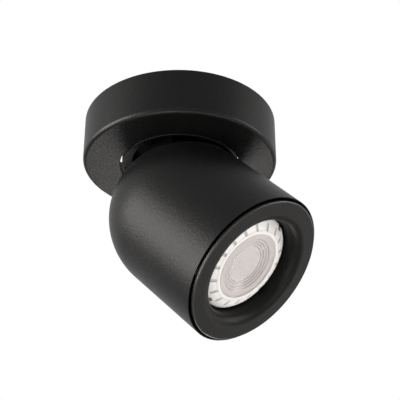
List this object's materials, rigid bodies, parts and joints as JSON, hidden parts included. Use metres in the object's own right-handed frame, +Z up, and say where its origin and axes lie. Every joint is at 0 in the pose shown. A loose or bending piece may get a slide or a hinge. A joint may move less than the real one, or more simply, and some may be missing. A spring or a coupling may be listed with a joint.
{
  "type": "ceiling spotlight",
  "caption": "Surface ceiling spotlight: drum canopy, swivel ring set in its floor and a bullet head that tilts in the ring, with a push-fit front ring and a twist-lock reflector lamp.",
  "frame": {"origin": "centre of the ceiling bracket's slot pattern, on the ceiling plane, which is also the canopy's axis", "axes": "+Z up out of the canopy into the ceiling, X along the ceiling bracket; the head leans towards +X and -Y"},
  "size_m": [0.1161, 0.1057, 0.1201],
  "materials": {
    "canopy_black": "fine-texture matte powder coat",
    "ring_black": "fine-texture matte powder coat",
    "head_black": "fine-texture matte powder coat on cast aluminium",
    "front_black": "fine-texture matte powder coat on pressed aluminium",
    "yoke_black": "matte black coat on steel",
    "screw_black": "blackened steel",
    "zinc_plate": "zinc plated sheet",
    "screw_steel": "zinc plated",
    "bolt_steel": "zinc plated, turned",
    "spring_steel": "spring steel",
    "rivet_aluminium": "satin",
    "brass_parts": "turned and pressed",
    "terminal_white": "moulded polyamide",
    "nylon_white": "nylon",
    "lead_earth": "green insulation with a yellow stripe",
    "lead_live": "brown insulation",
    "lead_neutral": "blue insulation",
    "lead_silicone": "silicone insulation",
    "holder_ceramic": "unglazed steatite",
    "lamp_white": "semi-gloss moulding",
    "lamp_face_white": "semi-gloss moulding",
    "lens_clear": "clear moulded lens",
    "board_white": "white solder mask",
    "led_yellow": "phosphor",
    "pin_nickel": "nickel plated"
  },
  "bodies": {
    "canopy": {"canopy_shell": "canopy_black", "ceiling_bracket": "zinc_plate", "side_screws": "screw_black", "cross_bar": "zinc_plate", "cross_bar_screws": "screw_steel", "terminal_block": "terminal_white", "clamp_screws": "brass_parts", "block_screw": "screw_steel", "earth_screw": "brass_parts", "earth_tag": "brass_parts", "earth_lead": "lead_earth", "live_lead": "lead_live", "neutral_lead": "lead_neutral"},
    "swivel": {"swivel_ring": "ring_black", "bridge": "yoke_black", "bridge_screws": "screw_steel", "yoke": "yoke_black", "swivel_bolt": "bolt_steel", "slip_washer": "nylon_white", "flat_washer": "bolt_steel", "dished_washer": "spring_steel", "lock_nut": "bolt_steel", "stop_stud": "screw_steel", "lamp_leads": "lead_silicone"},
    "head": {"head_housing": "head_black", "pivot_screws": "screw_steel", "pivot_springs": "spring_steel", "pivot_washers": "nylon_white", "lampholder": "holder_ceramic", "holder_contacts": "brass_parts", "holder_bracket": "zinc_plate", "bracket_screws": "screw_steel", "holder_screws": "screw_steel"},
    "front_ring": {"front_ring": "front_black", "leaf_springs": "spring_steel", "spring_rivets": "rivet_aluminium"},
    "lamp": {"lamp_body": "lamp_white", "lamp_front": "lamp_face_white", "lamp_lens": "lens_clear", "led_board": "board_white", "led_chips": "led_yellow", "lamp_pins": "pin_nickel"}
  },
  "joints": [
    {"name": "swivel", "type": "hinge", "parent": "canopy", "child": "swivel", "pos_m": [0, 0, -0.012], "axis": [0, 0, 1], "range_deg": [-196, 152], "deforming": ["live_lead", "neutral_lead"]},
    {"name": "tilt", "type": "hinge", "parent": "swivel", "child": "head", "pos_m": [0, 0, -0.05165], "axis": [-0.4695, -0.8829, 0], "range_deg": [-44, 3], "deforming": ["lamp_leads"]},
    {"name": "front_ring_pull", "type": "slide", "parent": "head", "child": "front_ring", "axis": [0.6133, -0.3261, -0.7193], "range_m": [0, 0.03]},
    {"name": "lamp_twist", "type": "hinge", "parent": "head", "child": "lamp", "pos_m": [0, 0, -0.05165], "axis": [0.6133, -0.3261, -0.7193], "range_deg": [0, 30]}
  ]
}
